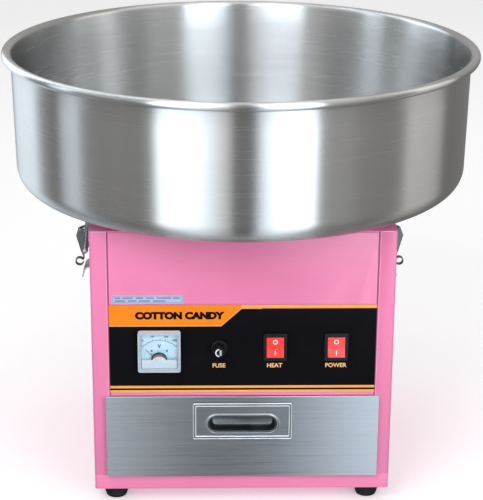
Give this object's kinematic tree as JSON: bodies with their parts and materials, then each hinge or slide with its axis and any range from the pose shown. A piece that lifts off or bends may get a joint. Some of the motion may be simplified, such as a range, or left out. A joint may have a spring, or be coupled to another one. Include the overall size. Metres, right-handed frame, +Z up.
{
  "type": "cotton candy machine",
  "caption": "Round steel floss bowl latched to a pink sheet-metal cabinet with a drawer, voltmeter, fuse, two rocker switches and a belt-driven spinner head.",
  "frame": {"origin": "centre of the cabinet on plan, level with the undersides of the feet", "axes": "+Z up, front with the drawer and controls towards -Y, +X to the right seen from the front"},
  "size_m": [0.52, 0.52, 0.4736],
  "materials": {
    "pink_paint": "semi-gloss powder coat",
    "bowl_steel": "fine horizontal grain, bright",
    "drawer_steel": "horizontal brushed grain",
    "handle_chrome": "pressed and polished",
    "zinc_steel": "bright zinc plate",
    "cast_head": "turned",
    "black_rubber": "matte",
    "black_plastic": "semi-gloss",
    "decal_film": "printed film",
    "meter_case": "clear grey moulding",
    "meter_dial": "printed",
    "meter_window": "clear",
    "needle_paint": "matte",
    "rocker_red": "translucent red moulding",
    "copper_alloy": "turned",
    "carbon": "pressed carbon",
    "phenolic": "phenolic board",
    "heater_alloy": "heat-browned sheath",
    "motor_enamel": "grey enamel",
    "fuse_glass": "clear with nickel ends"
  },
  "bodies": {
    "cabinet": {"base_pan": "pink_paint", "side_panel_right": "pink_paint", "side_panel_left": "pink_paint", "front_panel": "pink_paint", "back_panel": "pink_paint", "top_panel": "pink_paint", "control_decal": "decal_film", "drawer_shelf": "zinc_steel", "drawer_guide_right": "zinc_steel", "drawer_guide_left": "zinc_steel", "foot_front_left": "black_rubber", "foot_front_right": "black_rubber", "foot_back_left": "black_rubber", "foot_back_right": "black_rubber", "voltmeter_case": "meter_case", "voltmeter_dial": "meter_dial", "voltmeter_window": "meter_window", "fuse_holder": "black_plastic", "heat_switch_frame": "black_plastic", "power_switch_frame": "black_plastic", "bowl_seat": "black_rubber", "latch_base_right": "zinc_steel", "latch_base_left": "zinc_steel", "bearing_housing": "cast_head", "lower_bearing": "zinc_steel", "upper_bearing": "zinc_steel", "brush_holder": "phenolic", "carbon_brush_lower": "carbon", "carbon_brush_upper": "carbon", "motor_body": "motor_enamel", "motor_bracket": "zinc_steel", "drive_belt": "black_rubber", "cable_gland": "black_plastic"},
    "bowl": {"bowl": "bowl_steel", "bowl_catch_right": "zinc_steel", "bowl_catch_left": "zinc_steel"},
    "spinner": {"spindle": "zinc_steel", "driven_pulley": "cast_head", "slip_ring_hub": "phenolic", "slip_ring_lower": "copper_alloy", "slip_ring_upper": "copper_alloy", "head_base": "cast_head", "heater_element": "heater_alloy", "screen_band": "cast_head", "head_cover": "cast_head", "head_nut": "zinc_steel"},
    "motor_rotor": {"motor_shaft": "zinc_steel", "motor_pulley": "cast_head"},
    "drawer": {"drawer_front": "drawer_steel", "drawer_tray": "drawer_steel", "drawer_handle": "handle_chrome"},
    "heat_rocker": {"heat_rocker": "rocker_red"},
    "power_rocker": {"power_rocker": "rocker_red"},
    "meter_needle": {"meter_needle": "needle_paint"},
    "fuse_carrier": {"fuse_link": "fuse_glass"},
    "fuse_cap": {"fuse_cap": "black_plastic"},
    "latch_lever_left": {"latch_lever_left": "zinc_steel"},
    "latch_lever_right": {"latch_lever_right": "zinc_steel"},
    "latch_bail_left": {"latch_bail_left": "zinc_steel"},
    "latch_bail_right": {"latch_bail_right": "zinc_steel"}
  },
  "joints": [
    {"name": "bowl_lift", "type": "slide", "parent": "cabinet", "child": "bowl", "axis": [0, 0, 1], "range_m": [0, 0.15]},
    {"name": "head_spin", "type": "hinge", "parent": "cabinet", "child": "spinner", "pos_m": [0, 0, 0.35], "axis": [0, 0, 1], "continuous": true},
    {"name": "motor_spin", "type": "hinge", "parent": "cabinet", "child": "motor_rotor", "pos_m": [0, 0.095, 0.181], "axis": [0, 0, 1], "continuous": true},
    {"name": "drawer_slide", "type": "slide", "parent": "cabinet", "child": "drawer", "axis": [0, -1, 0], "range_m": [0, 0.24]},
    {"name": "heat_switch", "type": "hinge", "parent": "cabinet", "child": "heat_rocker", "pos_m": [0.0343, -0.1625, 0.184], "axis": [1, 0, 0], "range_deg": [0, 18]},
    {"name": "power_switch", "type": "hinge", "parent": "cabinet", "child": "power_rocker", "pos_m": [0.099, -0.1625, 0.184], "axis": [1, 0, 0], "range_deg": [0, 18]},
    {"name": "meter_swing", "type": "hinge", "parent": "cabinet", "child": "meter_needle", "pos_m": [-0.0883, -0.164, 0.168], "axis": [0, 1, 0], "range_deg": [0, 90]},
    {"name": "fuse_pull", "type": "slide", "parent": "cabinet", "child": "fuse_carrier", "axis": [0, -1, 0], "range_m": [0, 0.045]},
    {"name": "fuse_turn", "type": "hinge", "parent": "fuse_carrier", "child": "fuse_cap", "pos_m": [-0.0248, -0.165, 0.183], "axis": [0, -1, 0], "range_deg": [0, 90]},
    {"name": "latch_left", "type": "hinge", "parent": "cabinet", "child": "latch_lever_left", "pos_m": [-0.1795, 0, 0.2585], "axis": [0, 1, 0], "range_deg": [0, 120]},
    {"name": "bail_left", "type": "hinge", "parent": "latch_lever_left", "child": "latch_bail_left", "pos_m": [-0.1755, 0, 0.24], "axis": [0, 1, 0], "range_deg": [-180, 0]},
    {"name": "latch_right", "type": "hinge", "parent": "cabinet", "child": "latch_lever_right", "pos_m": [0.1795, 0, 0.2585], "axis": [0, -1, 0], "range_deg": [0, 120]},
    {"name": "bail_right", "type": "hinge", "parent": "latch_lever_right", "child": "latch_bail_right", "pos_m": [0.1755, 0, 0.24], "axis": [0, -1, 0], "range_deg": [-180, 0]}
  ],
  "couplings": [
    {"joint": "motor_spin", "follows": "head_spin", "ratio": 2},
    {"joint": "bail_left", "follows": "latch_left", "ratio": -1.5},
    {"joint": "bail_right", "follows": "latch_right", "ratio": -1.5}
  ]
}
